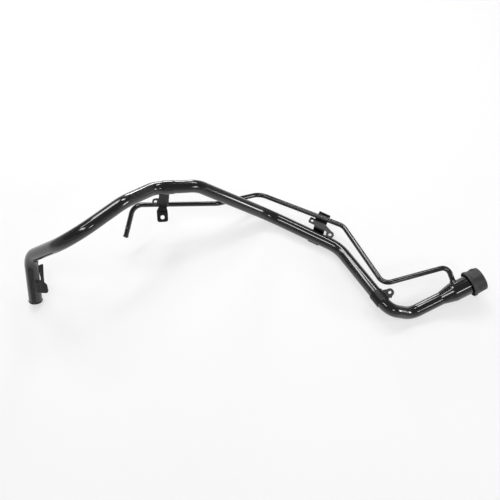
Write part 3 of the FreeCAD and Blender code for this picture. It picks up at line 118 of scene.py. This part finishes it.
# %% [markdown]
# Paint, plastic and steel share one kind of surface: a slow waviness, a fine grain on top of it,
# and patches that are a little duller than the rest. One group makes all three from noise in
# object coordinates, so it keeps its size on every piece and doesn't slide when a piece turns.

# %% Surface group: waves, grain and dull patches
surface_group, surface_in, surface_out = new_group(
    "surface variation",
    [("Wave Size", "NodeSocketFloat", 60.0), ("Grain Size", "NodeSocketFloat", 1500.0),
     ("Grain Share", "NodeSocketFloat", 0.3), ("Roughness Low", "NodeSocketFloat", 0.2),
     ("Roughness High", "NodeSocketFloat", 0.4)],
    [("Height", "NodeSocketFloat"), ("Roughness", "NodeSocketFloat"),
     ("Patches", "NodeSocketFloat")])
place = surface_group.nodes.new("ShaderNodeTexCoord").outputs["Object"]
wave = shader_node(surface_group, "ShaderNodeTexNoise", {
    "Vector": place, "Scale": surface_in.outputs["Wave Size"], "Detail": 2.0})
grain = shader_node(surface_group, "ShaderNodeTexNoise", {
    "Vector": place, "Scale": surface_in.outputs["Grain Size"], "Detail": 3.0})
patches = shader_node(surface_group, "ShaderNodeTexNoise", {
    "Vector": place, "Scale": 22.0, "Detail": 5.0, "Roughness": 0.65})
spread = shader_node(surface_group, "ShaderNodeMapRange",
                     {"Value": patches.outputs[0], "From Min": 0.35, "From Max": 0.7})
rough = shader_node(surface_group, "ShaderNodeMapRange",
                    {"Value": spread.outputs[0], "To Min": surface_in.outputs["Roughness Low"],
                     "To Max": surface_in.outputs["Roughness High"]})
both = shader_node(surface_group, "ShaderNodeMix", data_type="FLOAT")
surface_group.links.new(surface_in.outputs["Grain Share"], both.inputs[0])
surface_group.links.new(wave.outputs[0], both.inputs[2])
surface_group.links.new(grain.outputs[0], both.inputs[3])
surface_group.links.new(both.outputs[0], surface_out.inputs["Height"])
surface_group.links.new(rough.outputs[0], surface_out.inputs["Roughness"])
surface_group.links.new(spread.outputs[0], surface_out.inputs["Patches"])
print("surface group", len(surface_group.nodes), "nodes")


def give_surface(tree, shader, dark, light, bump, relief_depth, **values):
    """Colour, roughness and relief from the surface group, linked to a Principled shader."""
    surface = use_group(tree, surface_group, **values)
    colour = blend_colours(tree, surface.outputs["Patches"], dark, light)
    relief = shader_node(tree, "ShaderNodeBump", {
        "Height": surface.outputs["Height"], "Strength": bump, "Distance": relief_depth})
    tree.links.new(colour, shader.inputs["Base Color"])
    tree.links.new(surface.outputs["Roughness"], shader.inputs["Roughness"])
    tree.links.new(relief.outputs[0], shader.inputs["Normal"])


# %% [markdown]
# The pipes wear a thin black electrocoat: nearly black, glossy, with the faint waviness of a
# dipped coat. The brackets wear the same coat over plain sheet, which looks flatter, and the weld
# beads wear it over their ripples, so their relief is short and deep. All three are one function
# with different values.


# %% Black coats
def coat_material(name, dark, light, specular, coat, bump, **values):
    """A black dipped coat over steel."""
    material, tree, shader = new_material(
        name, IOR=1.5, Specular_IOR_Level=specular, Coat_Weight=coat, Coat_Roughness=0.06)
    give_surface(tree, shader, grey(dark), grey(light), bump, relief_depth=0.0004,
                 Grain_Size=900.0, **values)
    return material


gloss_coat = coat_material(
    "gloss coat", 0.005, 0.008, specular=0.5, coat=0.5, bump=0.06,
    Wave_Size=60.0, Grain_Share=0.03, Roughness_Low=0.10, Roughness_High=0.18)
satin_coat = coat_material(
    "satin coat", 0.009, 0.013, specular=0.25, coat=0.0, bump=0.20,
    Wave_Size=160.0, Grain_Share=0.3, Roughness_Low=0.26, Roughness_High=0.34)
weld_coat = coat_material(
    "weld coat", 0.006, 0.012, specular=0.5, coat=0.2, bump=0.9,
    Wave_Size=420.0, Grain_Share=0.15, Roughness_Low=0.20, Roughness_High=0.34)
print("coats", gloss_coat.name, satin_coat.name, weld_coat.name)

# %% [markdown]
# The collar is injection moulded in dark grey, with a spark-eroded texture: an even, fine grain
# and no gloss. The cap insert is the same idea in black. The restrictor is pressed from plated
# steel sheet, and the pin and spring are drawn steel.


# %% Moulded plastic and bare steel
def moulded_material(name, dark, light, bump, **values):
    """A matte moulded plastic with a fine even grain."""
    material, tree, shader = new_material(name, IOR=1.46)
    give_surface(tree, shader, grey(dark), grey(light), bump, relief_depth=0.0003,
                 Wave_Size=260.0, Grain_Size=1400.0, Grain_Share=0.6, **values)
    return material


def steel_material(name, dark, light, **values):
    """Bare or plated steel with soft streaks."""
    material, tree, shader = new_material(name, Metallic=1.0)
    give_surface(tree, shader, dark, light, bump=0.15, relief_depth=0.0002,
                 Wave_Size=200.0, Grain_Size=1200.0, Grain_Share=0.5, **values)
    return material


collar_plastic = moulded_material(
    "collar plastic", 0.022, 0.046, bump=0.6, Roughness_Low=0.42, Roughness_High=0.60)
insert_plastic = moulded_material(
    "insert plastic", 0.018, 0.026, bump=0.35, Roughness_Low=0.42, Roughness_High=0.58)
plated_steel = steel_material(
    "plated steel", grey(0.42, 0.03), grey(0.55, 0.02), Roughness_Low=0.28, Roughness_High=0.45)
spring_steel = steel_material(
    "spring steel", grey(0.50), grey(0.62), Roughness_Low=0.22, Roughness_High=0.35)
print("plastics", collar_plastic.name, insert_plastic.name)
print("steels", plated_steel.name, spring_steel.name)

# %% [markdown]
# The record names a finish for every node, so one loop dresses them all. The weld and braze beads
# were coated with the pieces that they join, and only their ripples set them apart.

# %% Dress the CAD nodes
FINISHES = {
    "gloss_coat": gloss_coat,
    "satin_coat": satin_coat,
    "collar_plastic": collar_plastic,
    "insert_plastic": insert_plastic,
    "plated_steel": plated_steel,
    "spring_steel": spring_steel,
}
for part in frame["record"]["subparts"]:
    mesh = nodes[part["node"]].data
    mesh.materials.clear()
    on_bead = part["node"].endswith(("_welds", "_braze"))
    mesh.materials.append(weld_coat if on_bead else FINISHES[part["material_slot"]])
print("dressed", len(nodes), "nodes")

# %% [markdown]
# The fine forms round the mouth are easiest in the mouth's own directions, so the next cell turns
# the record of the cap's bore into a frame: Z out of the mouth, X up, and Y to the side. A piece is
# shaped in that frame and then moved to its place on the part.

# %% The mouth's own frame
cap_bore = next(mount for mount in frame["record"]["mounts"] if mount["name"] == "cap_bore")
BORE_RADIUS = cap_bore["dims"]["r_mm"] / 1000
mouth_out = Vector(cap_bore["axis"]).normalized()
mouth_up = (Vector((0, 0, 1)) - mouth_out * mouth_out.z).normalized()
mouth_side = mouth_out.cross(mouth_up)
mouth_turn = Matrix((mouth_up, mouth_side, mouth_out)).transposed().to_4x4()
mouth_frame = Matrix.Translation(Vector(cap_bore["pos_m"])) @ mouth_turn


def finished_piece(name, shape, material):
    """Makes an object from a bmesh in the mouth's frame, and lets it stay with the neck."""
    bmesh.ops.transform(shape, matrix=mouth_frame, verts=shape.verts)
    bmesh.ops.recalc_face_normals(shape, faces=shape.faces)
    data = bpy.data.meshes.new(name)
    shape.to_mesh(data)
    shape.free()
    data.materials.append(material)
    piece = bpy.data.objects.new(name, data)
    bpy.context.scene.collection.objects.link(piece)
    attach(piece, "neck")
    print(name, len(data.polygons), "faces")


# %% [markdown]
# A bayonet cap goes in with its two lugs in the insert's slots and is turned, and the lugs then
# slide down two ramps on the bore's wall, which pull the seal tight. Each ramp is a small section
# spun round the bore with a little step outwards along the axis at every turn of the spin, which
# makes a helix. The second ramp is a copy of the first, half a turn on.

# %% Cap ramps in the insert
RAMP_HEIGHT = 0.0015
RAMP_WIDTH = 0.0024
RAMP_ROOT = 0.0003
RAMP_START = math.radians(20)
RAMP_SWEEP = math.radians(128)
RAMP_LIFT = 0.0035
RAMP_STEPS = 28
ramps = bmesh.new()
corners = [
    (BORE_RADIUS + RAMP_ROOT, -RAMP_WIDTH / 2), (BORE_RADIUS + RAMP_ROOT, RAMP_WIDTH / 2),
    (BORE_RADIUS - RAMP_HEIGHT, RAMP_WIDTH / 4), (BORE_RADIUS - RAMP_HEIGHT, -RAMP_WIDTH / 4),
]
ramps.faces.new([ramps.verts.new((radius, 0, height)) for radius, height in corners])
bmesh.ops.rotate(ramps, verts=ramps.verts, cent=(0, 0, 0),
                 matrix=Matrix.Rotation(RAMP_START, 3, "Z"))
bmesh.ops.spin(ramps, geom=ramps.verts[:] + ramps.edges[:] + ramps.faces[:], cent=(0, 0, 0),
               axis=(0, 0, 1), dvec=(0, 0, RAMP_LIFT / RAMP_STEPS), angle=RAMP_SWEEP,
               steps=RAMP_STEPS)
twin = bmesh.ops.duplicate(ramps, geom=ramps.verts[:] + ramps.edges[:] + ramps.faces[:])
twin_corners = [element for element in twin["geom"] if isinstance(element, bmesh.types.BMVert)]
bmesh.ops.rotate(ramps, verts=twin_corners, cent=(0, 0, 0),
                 matrix=Matrix.Rotation(math.pi, 3, "Z"))
finished_piece("cap_ramps", ramps, insert_plastic)

# %% [markdown]
# A moulded collar carries a fine raised line on each side where the two halves of its mould meet.
# The line has to follow the flange, the slope and the tapered body, so rays cast inwards at the
# collar's own mesh find the surface, and a thin bar with many cuts is laid on it.

# %% Mould lines on the collar
LINE_WIDTH = 0.0006
LINE_HEIGHT = 0.00035
LINE_REAR = -0.0086
LINE_FRONT = 0.0256
LINE_CUTS = 40
RAY_REACH = 0.08
collar = nodes["mouth_collar"]
collar_shape = bmesh.new()
collar_shape.from_mesh(collar.data)
bmesh.ops.transform(collar_shape, matrix=mouth_frame.inverted() @ collar.matrix_world,
                    verts=collar_shape.verts)
collar_tree = BVHTree.FromBMesh(collar_shape)
collar_shape.free()


def collar_radius(side, height):
    """The collar's outer radius on one side of the mouth's frame."""
    hit = collar_tree.ray_cast(Vector((0, side * RAY_REACH, height)), Vector((0, -side, 0)))[0]
    return abs(hit.y)


lines = bmesh.new()
for side in (1, -1):
    bar = bmesh.ops.create_cube(lines, size=1)["verts"]
    long_edges = [edge for edge in lines.edges
                  if edge.verts[0] in bar and abs(edge.verts[0].co.z - edge.verts[1].co.z) > 0.5]
    bmesh.ops.subdivide_edges(lines, edges=long_edges, cuts=LINE_CUTS)
    for corner in lines.verts:
        # A new bar is a metre wide, so a corner near the middle is one that is laid already
        if abs(corner.co.x) < 0.1:
            continue
        outside = corner.co.y > 0
        height = LINE_REAR + (corner.co.z + 0.5) * (LINE_FRONT - LINE_REAR)
        radius = collar_radius(side, height) + (LINE_HEIGHT if outside else -LINE_HEIGHT)
        corner.co = (math.copysign(LINE_WIDTH / 2, corner.co.x), side * radius, height)
finished_piece("collar_mould_lines", lines, collar_plastic)

# %% [markdown]
# The stage is one pale sheet: a flat floor that curves up far away into a wall all round. It is
# spun from a short profile. The photograph's background is pure white, so a share of the sheet is
# white of its own wherever the camera or a reflection sees it, and the rest still takes the part's
# shadow. That share shrinks towards the wall, because the photograph's black paint mirrors a dim
# room at the sides.

# %% Floor and backdrop
FLOOR_RADIUS = 3.2
WALL_HEIGHT = 2.6
WALL_CURVE = 1.2
NEAR_FLOOR = 1.2
WHITE_SHARE = 0.6
WALL_SHARE = 0.1
CURVE_STEPS = 8
ROUND_STEPS = 96
stage_mesh = bmesh.new()
profile = [stage_mesh.verts.new((0, 0, 0)), stage_mesh.verts.new((FLOOR_RADIUS, 0, 0))]
for step in range(1, CURVE_STEPS + 1):
    angle = math.radians(90 * step / CURVE_STEPS)
    x = FLOOR_RADIUS + WALL_CURVE * math.sin(angle)
    z = WALL_CURVE * (1 - math.cos(angle))
    profile.append(stage_mesh.verts.new((x, 0, z)))
profile.append(stage_mesh.verts.new((FLOOR_RADIUS + WALL_CURVE, 0, WALL_HEIGHT)))
edges = [stage_mesh.edges.new(pair) for pair in zip(profile, profile[1:])]
bmesh.ops.spin(stage_mesh, geom=profile + edges, cent=(0, 0, 0), axis=(0, 0, 1),
               angle=math.tau, steps=ROUND_STEPS, use_merge=True)
bmesh.ops.remove_doubles(stage_mesh, verts=stage_mesh.verts, dist=0.0001)
for face in stage_mesh.faces:
    face.smooth = True
floor_data = bpy.data.meshes.new("studio floor")
stage_mesh.to_mesh(floor_data)
stage_mesh.free()
floor = bpy.data.objects.new("studio_floor", floor_data)
bpy.context.scene.collection.objects.link(floor)
print("floor faces", len(floor_data.polygons))

# %% [markdown]
# The sheet's finish mixes matte pale paper with plain white light. Light Path tells which rays see
# the white: the camera's, the mirrored ones and those that come through a clear piece. Diffuse
# rays don't, so it brightens no matte surface.

# %% Pale sheet
pale, pale_tree, pale_shader = new_material(
    "pale sheet", Base_Color=grey(0.9), Roughness=0.9, Specular_IOR_Level=0.1)
rays = pale_tree.nodes.new("ShaderNodeLightPath")
straight = shader_node(pale_tree, "ShaderNodeMath", {
    0: rays.outputs["Is Camera Ray"], 1: rays.outputs["Is Glossy Ray"]}, operation="MAXIMUM")
seen = shader_node(pale_tree, "ShaderNodeMath", {
    0: straight.outputs[0], 1: rays.outputs["Is Transmission Ray"]}, operation="MAXIMUM")
spot = pale_tree.nodes.new("ShaderNodeTexCoord")
reach = shader_node(pale_tree, "ShaderNodeVectorMath", {0: spot.outputs["Object"]},
                    operation="LENGTH")
fade = shader_node(pale_tree, "ShaderNodeMapRange", {
    "Value": reach.outputs["Value"], "From Min": NEAR_FLOOR, "From Max": FLOOR_RADIUS,
    "To Min": WHITE_SHARE, "To Max": WALL_SHARE})
share = shader_node(pale_tree, "ShaderNodeMath", {0: seen.outputs[0], 1: fade.outputs[0]},
                    operation="MULTIPLY")
white = shader_node(pale_tree, "ShaderNodeEmission", {"Color": (1, 1, 1, 1), "Strength": 1.0})
blend = shader_node(pale_tree, "ShaderNodeMixShader", {
    0: share.outputs[0], 1: pale_shader.outputs[0], 2: white.outputs[0]})
pale_tree.links.new(blend.outputs[0], pale_tree.nodes["Material Output"].inputs["Surface"])
floor_data.materials.append(pale)
print("pale sheet", len(pale_tree.nodes), "nodes")

# %% [markdown]
# A glossy pipe shows each lamp as one thin line along it, so the lamps are chosen by the lines that
# they draw. The bright lines of the photograph, traced back over the pipes, lead to rows of tubes
# under a ceiling, to a low window at the right end and to a low one behind. The world stays dim,
# which keeps black paint black between the lines. A lamp's level is the share of plain light that
# it adds on the floor, and the levels and the world add up to a little over one.


# %% World and lamps
WORLD_LEVEL = 0.22
world = bpy.data.worlds.new("studio")
bpy.context.scene.world = world
world.use_nodes = True
sky = world.node_tree.nodes["Background"]
sky.inputs["Color"].default_value = (1, 1, 1, 1)
sky.inputs["Strength"].default_value = WORLD_LEVEL


def strip_lamp(name, place, width, height, level):
    """A lamp that faces the middle of the part, as bright as the share of light it adds there."""
    centre = Vector(place)
    distance = centre.length
    data = bpy.data.lights.new(name, "AREA")
    data.shape = "RECTANGLE"
    data.size = width
    data.size_y = height
    data.energy = level * math.pi ** 2 * distance ** 3 / centre.z
    lamp = bpy.data.objects.new(name, data)
    lamp.location = centre
    lamp.rotation_euler = (-centre).to_track_quat("-Z", "Y").to_euler()
    bpy.context.scene.collection.objects.link(lamp)
    return lamp


lamps = [
    strip_lamp("left ceiling panel", (-0.60, 1.50, 1.96), 0.8, 0.80, 0.20),
    strip_lamp("far ceiling tube", (0.55, 1.42, 1.96), 0.7, 0.26, 0.13),
    strip_lamp("near ceiling tube", (-0.62, 0.77, 1.96), 1.46, 0.22, 0.20),
    strip_lamp("front ceiling tube", (-0.50, -0.55, 1.96), 1.0, 0.26, 0.16),
    strip_lamp("front right panel", (1.35, -1.62, 1.96), 0.5, 0.30, 0.05),
    strip_lamp("right window", (2.20, -0.36, 0.85), 0.6, 0.40, 0.07),
    strip_lamp("back window", (-0.30, 2.35, 0.62), 0.6, 0.30, 0.06),
]
print("lamps", ", ".join("%s %.1f W" % (lamp.name, lamp.data.energy) for lamp in lamps))

# %% [markdown]
# The photograph looks down on the part from about 62 degrees, from nearly a metre and a half
# away, with a slightly long lens. The camera looks at a point near the middle of the floor under
# the part.

# %% Camera
ELEVATION = math.radians(62)
DISTANCE = 1.469
LENS = 40
SENSOR = 36
TARGET = Vector((-0.014, 0.026, 0))
camera_data = bpy.data.cameras.new("camera")
camera_data.lens = LENS
camera_data.sensor_width = SENSOR
camera = bpy.data.objects.new("camera", camera_data)
camera.location = TARGET + DISTANCE * Vector((0, -math.cos(ELEVATION), math.sin(ELEVATION)))
camera.rotation_euler = (math.pi / 2 - ELEVATION, 0, 0)
bpy.context.scene.collection.objects.link(camera)
bpy.context.scene.camera = camera
bpy.context.scene.view_settings.view_transform = "Standard"
print("camera at", tuple(round(value, 3) for value in camera.location))
